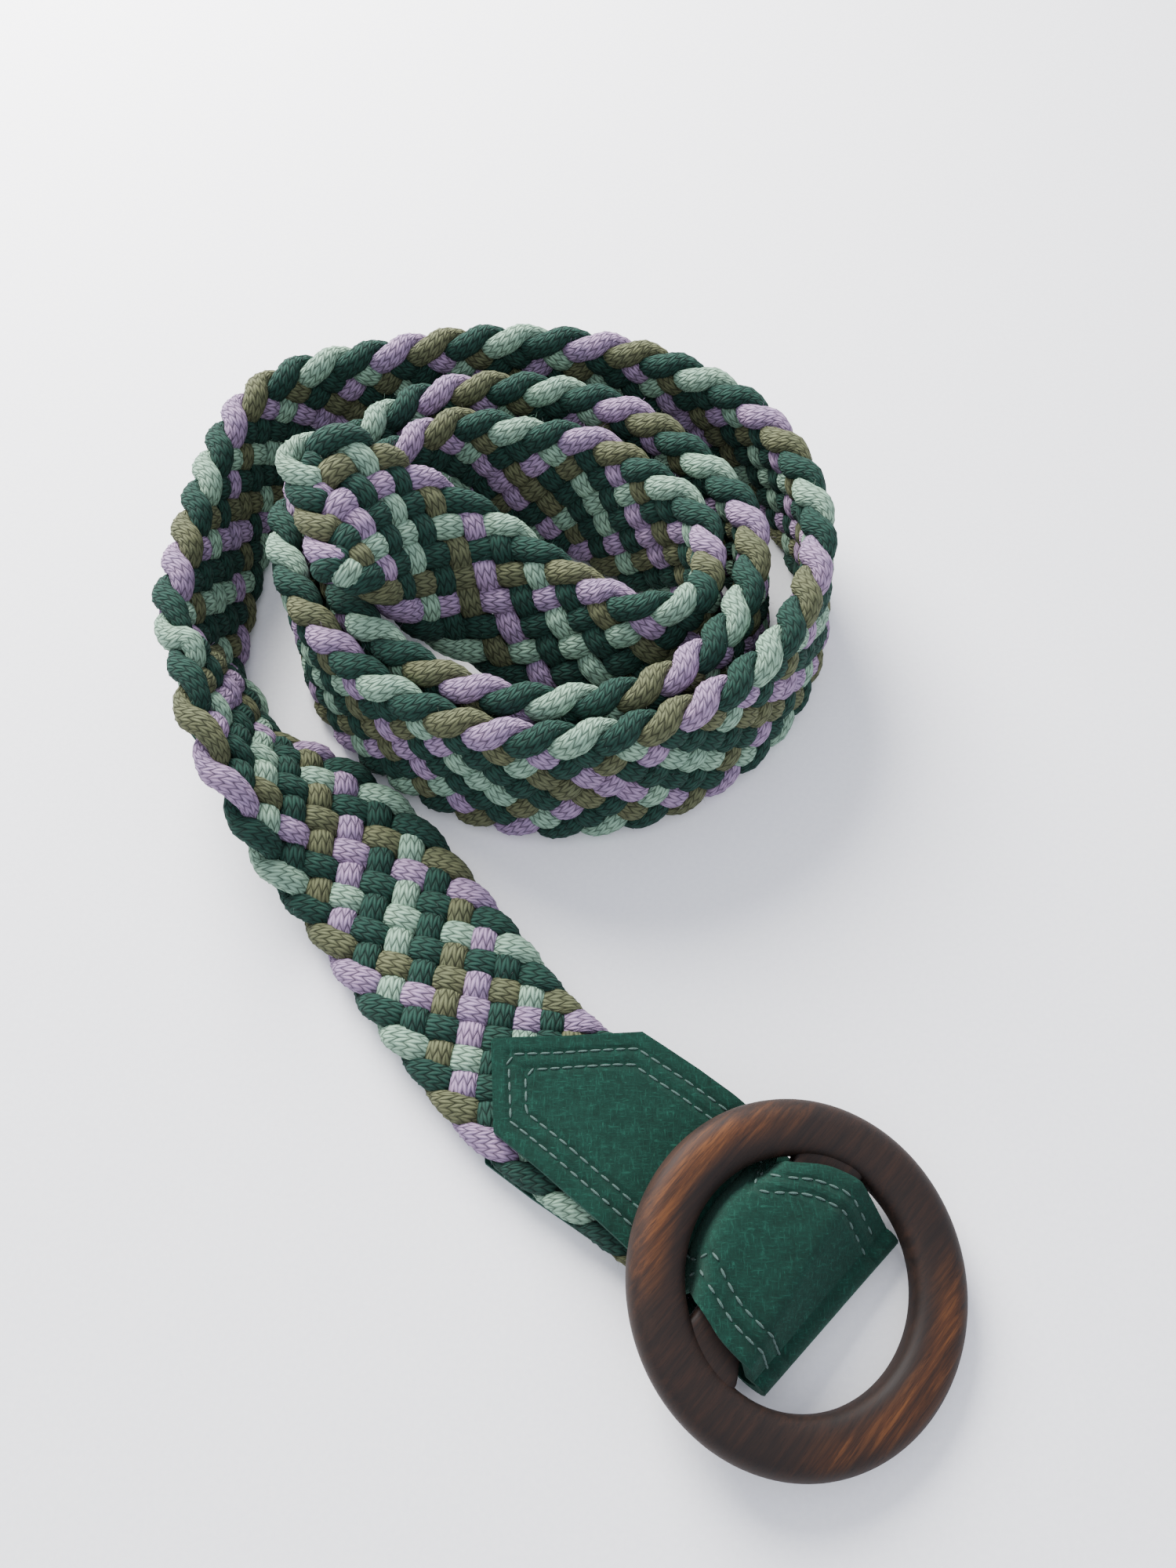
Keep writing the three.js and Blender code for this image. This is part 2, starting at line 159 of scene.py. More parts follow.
# The band's route. See the part's source: x, y and reach are shares of the coil's radius.
TAIL = [
    # x, y, felt layers below, lean
    (0.603, -2.158, 1, 90),
    (0.329, -1.956, 1, 90),
    (0.056, -1.756, 1, 90),
    (-0.136, -1.542, 1, 90),
    (-0.319, -1.313, 0.35, 90),
    (-0.486, -1.097, 0, 88),
    (-0.614, -0.972, 0, 78),
    (-0.733, -0.867, 0, 58),
    (-0.847, -0.767, 0, 37),
    (-0.944, -0.639, 0, 22),
    (-1.007, -0.472, 0, 14),
    (-1.090, -0.264, 0, 10),
]
TURN = [
    # reach, slack inside the outer turn and inside the second, their lean, the third turn's
    # lean, tucked behind the tail
    (1.139, 0.247, 0.017, 8, 8, 0),
    (1.125, 0.300, 0.028, 5, 5, 0),
    (0.938, 0.136, 0.056, 1, 5, 0),
    (0.878, 0.124, 0.140, -2, 12, 0),
    (0.906, 0.153, 0.126, -4, 17, 0),
    (0.975, 0.188, 0.130, -6, 16, 0),
    (1.000, 0.106, 0.075, -7, 4, 0),
    (0.967, 0.047, 0.008, -7, -7, 0),
    (0.917, 0.008, 0.000, -8, -8, 0),
    (0.858, 0.012, 0.000, -8, -8, 0),
    (1.189, 0.002, 0.000, -7, -7, 1),
    (1.176, 0.003, 0.000, -5, -5, 1),
]
FULL_TURNS = 2
LAST_TURN_STEPS = 6
LEAVING = [
    # bearing, reach, lean
    (205.2, 0.912, -8),
    (218.5, 0.856, -13),
    (228.4, 0.768, -21),
    (237.9, 0.649, -30),
]
CROSSING = [
    # x, y, rise as a share of the band's width, lean
    (0.006, -0.220, 0.05, -37),
    (-0.186, -0.131, 0.24, -46),
    (-0.354, -0.106, 0.60, -58),
    (-0.530, -0.132, 1.05, -69),
    (-0.715, -0.190, 1.14, -79),
]

# The felt strap's outline: along is a share of its reach, the edges are shares of its width.
UPPER_LAYER = [
    # along, near edge, far edge, sink
    (-1.000, 0.025, 0.053, 0),
    (-0.843, -0.353, 0.308, 0),
    (-0.683, -0.361, 0.582, 0),
    (-0.500, -0.381, 0.599, 0.1),
    (-0.397, -0.396, 0.604, 0.6),
    (-0.320, -0.411, 0.599, 0.9),
    (-0.270, -0.421, 0.569, 1),
]
LOWER_LAYER = [
    (-0.990, -0.111, -0.083, 0),
    (-0.833, -0.483, 0.178, 0),
    (-0.673, -0.476, 0.449, 0),
    (-0.397, -0.440, 0.555, 0),
    (-0.290, -0.451, 0.564, 0),
]
FOLD_SLANT = 0.18
FOLD_NEAR = -0.535
FOLD_FAR = 0.52
FOLD_OPEN_NEAR = 1.0
FOLD_OPEN_FAR = 0.55
FOLD_BULGE = 0.26

# The felt's looks: its dome inside the ring, its sewn rows' distance from the edge, stitches.
DOME_FOOT = -22.5
DOME_SLOPE = 6.5
DOME_ROWS = [
    # distance behind the bar, share of the dome's slope, share of the strap's full width
    (0.7, 0.15, 0),
    (1.7, 0.6, 0),
    (2.9, 1, 0.2),
    (4.2, 1, 1),
    (6, 1, 1),
    (8, 1, 1),
]
FELT_CROWN = 1.1
SEWN_ROWS = (3.6, 6.9)
STITCHES_START = 92
STITCH_STEP = 2.7
STITCH_LENGTH = 2.2
THREAD_RADIUS = 0.24


def mix(a, b, share):
    return a + (b - a) * share


def smooth(value, low, high):
    share = min(1, max(0, (value - low) / (high - low)))
    return share * share * (3 - 2 * share)


def catmull_rom(a, b, c, d, t):
    cubic = 3 * b - a - 3 * c + d
    square = 2 * a - 5 * b + 4 * c - d
    return 0.5 * (2 * b + (c - a) * t + square * t * t + cubic * t ** 3)


# The band's route and its frames.

def route_rows():
    """Rows (x, y, rise, lean) along the whole band, in millimetres from the coil's middle."""
    def polar(bearing, reach):
        angle = math.radians(180 - bearing)
        return reach * math.cos(angle), reach * math.sin(angle)

    rows = [(x * COIL_RADIUS, y * COIL_RADIUS, lift * FELT_LIFT, lean) for x, y, lift, lean in TAIL]
    for step in range(1, FULL_TURNS * len(TURN) + LAST_TURN_STEPS + 1):
        reach, slack2, slack3, lean, lean3, tucked = TURN[step % len(TURN)]
        turn = step // len(TURN)
        share = reach - (slack2 if turn > 0 else 0) - (slack3 if turn > 1 else 0)
        away = share * COIL_RADIUS - turn * LAYER_STEP - tucked * (LAYER_STEP + HALF_WIDTH)
        rows.append((*polar(step * 360 / len(TURN), away), 0, lean3 if turn > 1 else lean))
    for bearing, reach, lean in LEAVING:
        rows.append((*polar(bearing, reach * COIL_RADIUS - FULL_TURNS * LAYER_STEP), 0, lean))
    for x, y, rise, lean in CROSSING:
        rows.append((x * COIL_RADIUS, y * COIL_RADIUS, rise * BAND_WIDTH, lean))
    return rows


class Band:
    """The flat band as a smooth strip: place, width and face directions at each length."""

    STEP = 0.5

    def __init__(self):
        curve = self.curve(route_rows())
        lengths = [0.0]
        for k in range(1, len(curve)):
            lengths.append(lengths[-1] + (curve[k][0] - curve[k - 1][0]).length)
        self.length = lengths[-1]
        places, leans = [], []
        k = 1
        for j in range(int(self.length / self.STEP) + 2):
            s = min(j * self.STEP, self.length)
            while k < len(lengths) - 1 and lengths[k] < s:
                k += 1
            share = (s - lengths[k - 1]) / (lengths[k] - lengths[k - 1])
            places.append(curve[k - 1][0].lerp(curve[k][0], share))
            leans.append(math.radians(mix(curve[k - 1][1], curve[k][1], share)))
        self.frames = []
        for j, place in enumerate(places):
            ahead = places[min(j + 1, len(places) - 1)]
            behind = places[max(j - 1, 0)]
            along = (ahead - behind).normalized()
            width = Vector((-along.y, along.x, 0)).normalized() * math.sin(leans[j])
            width.z += math.cos(leans[j])
            width = (width - along * width.dot(along)).normalized()
            self.frames.append((place, along, width, along.cross(width)))

    @staticmethod
    def curve(rows, steps=16):
        first = tuple(2 * a - b for a, b in zip(rows[0], rows[1]))
        last = tuple(2 * a - b for a, b in zip(rows[-1], rows[-2]))
        rows = [first, *rows, last]
        points = []
        for k in range(1, len(rows) - 2):
            for j in range(steps + (k == len(rows) - 3)):
                x, y, rise, lean = (
                    catmull_rom(rows[k - 1][c], rows[k][c], rows[k + 1][c], rows[k + 2][c], j / steps)
                    for c in range(4)
                )
                standing = abs(math.cos(math.radians(lean)))
                z = (HALF_WIDTH - BAND_THICKNESS / 2) * standing + BAND_THICKNESS / 2
                points.append((Vector((x, y, z + max(0, rise))), lean))
        return points

    def at(self, s):
        spot = min(max(s, 0), self.length) / self.STEP
        k = min(int(spot), len(self.frames) - 2)
        share = spot - k
        return tuple(a.lerp(b, share) for a, b in zip(self.frames[k], self.frames[k + 1]))

    def pressing(self, s):
        """How far the felt presses the plait flat here, and how far its middle goes down."""
        cover = STRAP_REACH - BAND_END_TO_RING + 2
        share = mix(PRESSED_SHARE, 1, smooth(s, cover, cover + BAND_WIDTH / 3))
        share = mix(share, END_PRESSED_SHARE, 1 - smooth(s, RING_INNER / 4, RING_OUTER))
        return share, (share - 1) * BAND_THICKNESS / 2

    def half_width(self, s):
        """Half the band's width, less its rounded inner corners."""
        left_over = self.length - s
        short = min(END_CORNER, max(0, END_CORNER - left_over))
        loose = END_SPREAD * (1 - smooth(left_over, 0, BAND_WIDTH))
        return HALF_WIDTH * (1 + loose) - END_CORNER + math.sqrt(END_CORNER ** 2 - short ** 2)

    def place(self, s, across, out):
        spot, along, width, face = self.at(s)
        share, shift = self.pressing(s)
        past = max(0, s - self.length)
        return spot + width * across + face * (out * share + shift) + along * past


band = Band()


def world(point):
    """A point from the coil's middle, in millimetres, as a place in the frame, in metres."""
    return (point + COIL_MIDDLE) * MM


# Camera, floor and light.

def set_camera():
    data = bpy.data.cameras.new("photo_view")
    data.lens = 27
    data.sensor_width = 36
    data.clip_start = 0.01
    camera = bpy.data.objects.new("photo_view", data)
    bpy.context.collection.objects.link(camera)
    camera.location = world(Vector((*CAMERA_FROM_COIL, CAMERA_HEIGHT)))
    camera.rotation_euler = (math.pi / 2 - CAMERA_DOWN, 0, 0)
    bpy.context.scene.camera = camera


set_camera()


class Nodes:
    """A small helper that adds and links shader nodes of one material."""

    def __init__(self, name):
        self.material = bpy.data.materials.new(name)
        self.material.use_nodes = True
        self.tree = self.material.node_tree
        self.shader = self.tree.nodes["Principled BSDF"]

    def add(self, kind, **settings):
        node = self.tree.nodes.new(kind)
        for key, value in settings.items():
            setattr(node, key, value)
        return node

    def link(self, source, target):
        if isinstance(source, (int, float, tuple)):
            target.default_value = source
        else:
            self.tree.links.new(source, target)

    def math(self, operation, a, b=0.0, c=0.0):
        node = self.add("ShaderNodeMath", operation=operation)
        for socket, value in zip(node.inputs, (a, b, c)):
            self.link(value, socket)
        return node.outputs[0]

    def noise(self, vector, scale, detail=2.0, roughness=0.5, distortion=0.0):
        node = self.add("ShaderNodeTexNoise")
        self.link(vector, node.inputs["Vector"])
        node.inputs["Scale"].default_value = scale
        node.inputs["Detail"].default_value = detail
        node.inputs["Roughness"].default_value = roughness
        node.inputs["Distortion"].default_value = distortion
        return node.outputs["Fac"]

    def mapped(self, vector, scale=(1, 1, 1), turn=(0, 0, 0), move=(0, 0, 0)):
        node = self.add("ShaderNodeMapping")
        self.link(vector, node.inputs["Vector"])
        node.inputs["Scale"].default_value = scale
        node.inputs["Rotation"].default_value = turn
        node.inputs["Location"].default_value = move
        return node.outputs["Vector"]

    def ramp(self, value, *stops):
        node = self.add("ShaderNodeValToRGB")
        self.link(value, node.inputs["Fac"])
        steps = node.color_ramp.elements
        while len(steps) < len(stops):
            steps.new(0.5)
        for step, (place, colour) in zip(steps, stops):
            step.position = place
            step.color = colour
        return node.outputs["Color"]

    def blend(self, share, a, b, kind="MIX"):
        node = self.add("ShaderNodeMix", data_type="RGBA", blend_type=kind)
        self.link(share, node.inputs["Factor"])
        self.link(a, node.inputs["A"])
        self.link(b, node.inputs["B"])
        return node.outputs["Result"]

    def bump(self, height, distance, strength=1.0, below=None):
        node = self.add("ShaderNodeBump")
        self.link(height, node.inputs["Height"])
        node.inputs["Distance"].default_value = distance * MM
        node.inputs["Strength"].default_value = strength
        if below is not None:
            self.link(below, node.inputs["Normal"])
        return node.outputs["Normal"]

    def finish(self, colour, roughness, normal=None, **fixed):
        self.link(colour, self.shader.inputs["Base Color"])
        self.link(roughness, self.shader.inputs["Roughness"])
        if normal is not None:
            self.link(normal, self.shader.inputs["Normal"])
        for key, value in fixed.items():
            self.shader.inputs[key.replace("_", " ")].default_value = value
        return self.material


def srgb(red, green, blue):
    """A colour given as 0 to 255 on a screen."""
    def channel(value):
        value /= 255
        return value / 12.92 if value <= 0.04045 else ((value + 0.055) / 1.055) ** 2.4
    return (channel(red), channel(green), channel(blue), 1.0)


def shade(colour, factor):
    return tuple(min(1.0, c * factor) for c in colour[:3]) + (1.0,)


def cotton_material(name, colour):
    """Tubular knit: columns of small V stitches that follow the cord, from its own UV map."""
    m = Nodes(name)
    uv = m.add("ShaderNodeUVMap", uv_map="cord").outputs["UV"]
    parts = m.add("ShaderNodeSeparateXYZ")
    m.link(uv, parts.inputs[0])
    wale = m.math("FRACT", parts.outputs["Y"])
    side = m.math("MULTIPLY", m.math("ABSOLUTE", m.math("SUBTRACT", wale, 0.5)), 2.0)
    course = m.math("FRACT", m.math("ADD", parts.outputs["X"], m.math("MULTIPLY", side, 0.62)))
    leg = m.math("MULTIPLY", m.math("ABSOLUTE", m.math("SUBTRACT", course, 0.5)), 2.0)
    leg_round = m.math("SUBTRACT", 1.0, m.math("POWER", leg, 2.2))
    off_middle = m.math("MULTIPLY", m.math("ABSOLUTE", m.math("SUBTRACT", side, 0.5)), 2.0)
    across_round = m.math("SUBTRACT", 1.0, m.math("POWER", off_middle, 2.0))
    yarn = m.math("MULTIPLY", leg_round, m.math("ADD", 0.35, m.math("MULTIPLY", across_round, 0.65)))
    # Fibres run along each leg of the stitch.
    slope = m.math("ADD", parts.outputs["X"], m.math("MULTIPLY", side, 0.62))
    fibre_place = m.add("ShaderNodeCombineXYZ")
    m.link(m.math("MULTIPLY", slope, 7.0), fibre_place.inputs[0])
    m.link(m.math("MULTIPLY", parts.outputs["Y"], 1.6), fibre_place.inputs[1])
    fibres = m.noise(fibre_place.outputs[0], 1.6, 4.0, 0.62)
    place = m.add("ShaderNodeTexCoord").outputs["Object"]
    patches = m.noise(place, 160.0, 2.0, 0.5)
    # Painted shade and highlight: the colour goes dark in the gaps between the stitch legs and lighter on
    # their crowns.
    body = m.ramp(yarn, (0.0, shade(colour, 0.16)), (0.24, shade(colour, 0.5)),
                  (0.6, shade(colour, 0.93)), (1.0, shade(colour, 1.12)))
    light = m.ramp(fibres, (0.25, (0.66, 0.66, 0.66, 1)), (0.5, (0.98, 0.98, 0.98, 1)),
                   (0.78, (1.3, 1.3, 1.3, 1)))
    tone = m.ramp(patches, (0.3, (0.88, 0.9, 0.92, 1)), (0.7, (1.08, 1.05, 1.03, 1)))
    body = m.blend(1.0, m.blend(1.0, body, light, "MULTIPLY"), tone, "MULTIPLY")
    lump = m.math("ADD", yarn, m.math("MULTIPLY", fibres, 0.35))
    normal = m.bump(lump, 0.55, 0.85)
    return m.finish(body, 0.92, normal, Sheen_Weight=0.35, Sheen_Roughness=0.45,
                    Sheen_Tint=shade(colour, 1.4), Specular_IOR_Level=0.2)


def fibre_material(name):
    """Loose cotton fibres, a little lighter than their cord and uneven in tone."""
    m = Nodes("loose_" + name)
    place = m.add("ShaderNodeTexCoord").outputs["Object"]
    tone = m.noise(place, 700.0, 2.0, 0.5)
    colour = COLOURS[name]
    body = m.ramp(tone, (0.35, shade(colour, 0.9)), (0.65, shade(colour, 1.7)))
    return m.finish(body, 0.9, m.bump(tone, 0.02, 0.3), Sheen_Weight=0.3, Specular_IOR_Level=0.2)


def felt_material():
    """Pressed wool: matted short fibres, a soft mottled tone and a dip along each sewn row, with painted
    shade in the dip.
    """
    m = Nodes("dark_green_felt")
    place = m.add("ShaderNodeTexCoord").outputs["Object"]
    base = srgb(9, 40, 32)
    mottle = m.noise(place, 420.0, 5.0, 0.62)
    strands_a = m.noise(m.mapped(place, (2600, 500, 900), (0, 0, 0.5)), 1.0, 4.0, 0.65, 0.7)
    strands_b = m.noise(m.mapped(place, (520, 2500, 900), (0, 0, -0.3)), 1.0, 4.0, 0.65, 0.7)
    fibres = m.math("MAXIMUM", strands_a, strands_b)
    body = m.ramp(mottle, (0.3, shade(base, 0.7)), (0.5, base), (0.72, shade(base, 1.3)))
    light = m.ramp(fibres, (0.44, (0.74, 0.76, 0.76, 1)), (0.56, (1.0, 1.0, 1.0, 1)),
                   (0.63, (1.7, 1.6, 1.6, 1)), (0.72, (3.2, 2.7, 2.6, 1)))
    body = m.blend(1.0, body, light, "MULTIPLY")
    edge = m.add("ShaderNodeAttribute", attribute_name="sewn_dip").outputs["Fac"]
    # Painted shade: the felt is darkened along each sewn row, where its dip lies.
    body = m.blend(m.math("MULTIPLY", edge, 0.45), body, shade(base, 0.45))
    lump = m.math("ADD", m.math("MULTIPLY", mottle, 0.7), m.math("MULTIPLY", fibres, 0.5))
    fine = m.bump(lump, 0.32, 0.7)
    normal = m.bump(m.math("MULTIPLY", edge, -1.0), 0.5, 0.8, fine)
    return m.finish(body, 0.95, normal, Sheen_Weight=0.18, Sheen_Roughness=0.6,
                    Sheen_Tint=srgb(150, 200, 180), Specular_IOR_Level=0.12)


def thread_material():
    """Dull sewing thread with a fine twist."""
    m = Nodes("grey_green_thread")
    place = m.add("ShaderNodeTexCoord").outputs["Object"]
    twist = m.noise(place, 5200.0, 2.0, 0.5)
    colour = m.ramp(twist, (0.3, srgb(26, 52, 46)), (0.7, srgb(62, 92, 84)))
    return m.finish(colour, 0.75, m.bump(twist, 0.08, 0.6), Sheen_Weight=0.2)


def wood_material():
    """Dark stained hardwood: fine grain, orange streaks where the stain is thin, and a painted sheen that
    lightens the outer rim.
    """
    m = Nodes("dark_stained_wood")
    place = m.add("ShaderNodeTexCoord").outputs["Object"]
    from_middle = m.mapped(place, move=tuple(-world(RING_PLACE)))
    grain = m.mapped(from_middle, turn=(0, 0, -math.radians(47)))
    warp = m.noise(m.mapped(grain, (26, 120, 80)), 1.0, 3.0, 0.5)
    streaks = m.noise(m.mapped(grain, (45, 760, 420)), 1.0, 5.0, 0.7, 0.4)
    pores = m.noise(m.mapped(grain, (260, 4200, 2400)), 1.0, 3.0, 0.6)
    body = m.ramp(streaks, (0.3, srgb(17, 10, 8)), (0.5, srgb(28, 17, 12)), (0.72, srgb(42, 25, 17)))
    thin = m.ramp(streaks, (0.32, srgb(30, 16, 9)), (0.5, srgb(66, 36, 16)), (0.72, srgb(112, 68, 32)))
    across = m.add("ShaderNodeSeparateXYZ")
    m.link(grain, across.inputs[0])
    flat = m.add("ShaderNodeSeparateXYZ")
    m.link(from_middle, flat.inputs[0])
    reach = m.math("SQRT", m.math("ADD", m.math("POWER", flat.outputs["X"], 2.0),
                                  m.math("POWER", flat.outputs["Y"], 2.0)))
    far_out = m.math("ABSOLUTE", across.outputs["Y"])
    along_arc = m.ramp(m.math("MULTIPLY", far_out, 1000 / 40), (0.42, (0, 0, 0, 1)), (0.62, (1, 1, 1, 1)))
    off_crest = m.math("ABSOLUTE", m.math("SUBTRACT", reach, 28.6 * MM))
    on_crest = m.ramp(m.math("MULTIPLY", off_crest, 1000 / 6), (0.2, (1, 1, 1, 1)), (0.7, (0, 0, 0, 1)))
    patchy = m.ramp(warp, (0.36, (0, 0, 0, 1)), (0.56, (1, 1, 1, 1)))
    share = m.math("MULTIPLY", m.math("MULTIPLY", along_arc, on_crest), patchy)
    body = m.blend(m.math("MULTIPLY", share, 0.8), body, thin)
    # Painted sheen: the outer rim is blended towards a light grey-brown, a painted reflection of the
    # window along the rounded shoulder.
    painted_rim_sheen = m.ramp(m.math("MULTIPLY", reach, 1000 / 40), (0.79, (0, 0, 0, 1)), (0.84, (1, 1, 1, 1)))
    body = m.blend(m.math("MULTIPLY", painted_rim_sheen, 0.3), body, srgb(66, 52, 44))
    dark_pores = m.ramp(pores, (0.3, (1, 1, 1, 1)), (0.42, (0, 0, 0, 1)))
    body = m.blend(m.math("MULTIPLY", dark_pores, 0.7), body, srgb(12, 7, 6))
    roughness = m.math("ADD", 0.56, m.math("MULTIPLY", streaks, 0.2))
    lump = m.math("ADD", m.math("MULTIPLY", streaks, 0.4), m.math("MULTIPLY", pores, 0.6))
    return m.finish(body, roughness, m.bump(lump, 0.1, 0.5), Specular_IOR_Level=0.26)


def floor_material():
    m = Nodes("pale_paper")
    place = m.add("ShaderNodeTexCoord").outputs["Object"]
    grain = m.noise(place, 900.0, 3.0, 0.5)
    colour = m.ramp(grain, (0.3, srgb(242, 242, 245)), (0.7, srgb(247, 247, 249)))
    return m.finish(colour, 0.8, m.bump(grain, 0.02, 0.3))


COLOURS = {
    "dark_green": srgb(33, 62, 53),
    "lavender": srgb(152, 129, 160),
    "olive": srgb(92, 96, 70),
    "mint": srgb(132, 164, 142),
}
# The strands' colours in their order.
STRAND_COLOURS = ("dark_green", "mint", "dark_green", "olive", "lavender")


def new_piece(name, shape, material):
    """A finished piece from a bmesh in the frame's metres."""
    mesh = bpy.data.meshes.new(name)
    shape.to_mesh(mesh)
    shape.free()
    mesh.shade_smooth()
    mesh.materials.append(material)
    piece = bpy.data.objects.new(name, mesh)
    bpy.context.collection.objects.link(piece)
    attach(piece, "root")
    return piece


# The plait.

def edge_wave(turn):
    """Place across the band, 1 at the upper edge and -1 at the lower, a strand's turn in tenths."""
    tightness = 0.965
    return math.asin(tightness * math.cos(math.pi * turn / 5)) / math.asin(tightness)


def over_under(turn):
    """1 on the face, -1 on the back: over one, under one, and round each edge."""
    turn %= STRANDS
    if turn > 9.5:
        turn -= STRANDS
    if turn < 0.5:
        wave = -math.cos(math.pi * (turn + 0.5))
    elif turn <= 4.5:
        wave = math.cos(2 * math.pi * (turn - 0.5))
    elif turn < 5.5:
        wave = math.cos(math.pi * (turn - 4.5))
    else:
        wave = -math.cos(2 * math.pi * (turn - 5.5))
    return math.tanh(1.5 * wave) / math.tanh(1.5)


def edge_roll(turn):
    """The cord's flat side rolls over the edge: its angle from the band's face, in radians."""
    rounds = math.floor(turn / STRANDS)
    turn -= rounds * STRANDS
    roll = smooth(turn, 4.35, 5.65) + (smooth(turn, 9.35, 10.65) if turn > 8 else 0)
    if turn < 0.65:
        roll += smooth(turn + STRANDS, 9.35, 10.65) - 1
    return -math.pi * (roll + 2 * rounds)


def ovals_before(s):
    """How many ovals of the upper edge lie before this length, and how many more at the lower."""
    k = 0
    while k < len(OVAL_MARKS) - 2 and OVAL_MARKS[k + 1][0] < s:
        k += 1
    start, end = OVAL_MARKS[k:k + 2]
    share = (s - start[0]) / (end[0] - start[0])
    return mix(start[1], end[1], share), mix(start[2], end[2], share)


def strand_turn(strand, s):
    upper, more = ovals_before(s)
    turn = FIRST_OVAL_STRAND - upper - strand
    return turn - more * (1 - edge_wave(turn - more / 2)) / 2


def strand_row(strand, s):
    """(length along the band, place across it, height, roll, roundness) of a strand."""
    turn = strand_turn(strand, s)
    fit = (band.half_width(s) - CORD_EDGE_INSET) / (HALF_WIDTH - CORD_EDGE_INSET)
    across = (HALF_WIDTH - CORD_EDGE_INSET) * edge_wave(turn) * fit
    near_edge = max(0, 1 - abs((turn + 2.5) % 5 - 2.5) / 0.6)
    return (s, across, WEAVE_HEIGHT * over_under(turn), edge_roll(turn), near_edge)


def strand_rows(strand):
    """A strand from its end inside the felt to the band's rounded inner end."""
    rows = []
    s = STRAND_START
    stop = band.length - END_LOOP
    while s < stop:
        rows.append(strand_row(strand, s))
        s += STRAND_STEP
    turn = strand_turn(strand, rows[-1][0]) % STRANDS
    if turn > 5.6:
        rows += end_loop(rows[-1])
    return rows


def end_loop(row):
    """The strand rounds the band's inner end and is tucked in behind it."""
    s, across, height, roll, edge = row
    start = Vector((s, across))
    slope = math.atan2(2 * (HALF_WIDTH - CORD_EDGE_INSET) / 5, STRAND_PITCH)
    inward = Vector((math.cos(slope), -math.sin(slope)))
    back = Vector((-math.cos(slope), -math.sin(slope)))
    drop = min(10.5, across + HALF_WIDTH - 3.5)
    finish = Vector((s - 3.0, across - drop))
    reach = 6.5
    rows = []
    for step in range(1, 19):
        t = step / 18
        a, b, c, d = start, start + inward * reach, finish - back * reach, finish
        spot = a * (1 - t) ** 3 + b * (3 * t * (1 - t) ** 2) + c * (3 * t * t * (1 - t)) + d * t ** 3
        out = mix(height, -WEAVE_HEIGHT, smooth(t, 0.1, 0.95))
        rows.append((spot.x, spot.y, out, roll, mix(edge, 1, math.sin(math.pi * t)), t))
    return rows


def cord_frames(rows):
    """Places, and the flat and thick directions of the cord, along a strand."""
    places = [band.place(row[0], row[1], row[2]) for row in rows]
    frames = []
    for k, row in enumerate(rows):
        ahead = places[min(k + 1, len(rows) - 1)]
        behind = places[max(k - 1, 0)]
        along = (ahead - behind).normalized()
        spot, forward, width, face = band.at(row[0])
        out = face * math.cos(row[3]) + width * math.sin(row[3])
        if len(row) > 5:
            sign = 1 if out.dot(face) < 0 else -1
            angle = math.pi * row[5]
            out = (-face * math.cos(angle) - forward * math.sin(angle)) * sign
        out = (out - along * out.dot(along)).normalized()
        frames.append((places[k], along.cross(out), out, row[4], band.pressing(row[0])[0]))
    return frames


def even_frames(frames, step):
    """The same frames at even distances along the cord."""
    lengths = [0.0]
    for a, b in zip(frames, frames[1:]):
        lengths.append(lengths[-1] + (b[0] - a[0]).length)
    count = round(lengths[-1] / step)
    made, k = [], 1
    for j in range(count + 1):
        want = lengths[-1] * j / count
        while k < len(lengths) - 1 and lengths[k] < want:
            k += 1
        share = (want - lengths[k - 1]) / (lengths[k] - lengths[k - 1])
        a, b = frames[k - 1], frames[k]
        made.append((a[0].lerp(b[0], share), a[1].lerp(b[1], share).normalized(),
                     a[2].lerp(b[2], share).normalized(), mix(a[3], b[3], share), mix(a[4], b[4], share)))
    return made, lengths[-1]


def cord_shape(strand):
    """A sheet of quads rolled into a knitted tube round the strand's route."""
    frames, length = even_frames(cord_frames(strand_rows(strand)), STITCH_PITCH / 2)
    rings = len(frames)
    around = KNIT_WALES * 2
    shape = bmesh.new()
    bmesh.ops.create_grid(shape, x_segments=rings - 1, y_segments=around, size=1, calc_uvs=True)
    uv = shape.loops.layers.uv.verify()
    for face in shape.faces:
        for loop in face.loops:
            x, y = loop.vert.co.x, loop.vert.co.y
            loop[uv].uv = ((x + 1) / 2 * length / STITCH_PITCH, (y + 1) / 2 * KNIT_WALES)
    for vert in shape.verts:
        ring = round((vert.co.x + 1) / 2 * (rings - 1))
        spoke = round((vert.co.y + 1) / 2 * around) % around
        place, flat, thick, edge, pressed = frames[ring]
        angle = 2 * math.pi * spoke / around
        between = spoke % 2
        course = (ring + between) % 2
        knit = KNIT_RELIEF * course - KNIT_GROOVE * between
        from_tip = min(ring, rings - 1 - ring) * STITCH_PITCH / 2
        tip = math.sqrt(1 - max(0, 1 - from_tip / CORD_TIP) ** 2) if from_tip < CORD_TIP else 1
        tip = max(tip, 0.12)
        half_flat = (mix(CORD_HALF_WIDTH, CORD_EDGE_HALF_WIDTH, edge) + knit) * tip
        half_thick = (mix(CORD_HALF_THICKNESS, CORD_EDGE_ROUND, edge) * pressed + knit) * tip
        aside = flat * (half_flat * math.cos(angle))
        outward = thick * (half_thick * math.sin(angle))
        vert.co = world(place + aside + outward)
    bmesh.ops.remove_doubles(shape, verts=shape.verts, dist=1e-7)
    bmesh.ops.holes_fill(shape, edges=[e for e in shape.edges if e.is_boundary])
    bmesh.ops.recalc_face_normals(shape, faces=shape.faces)
    return shape


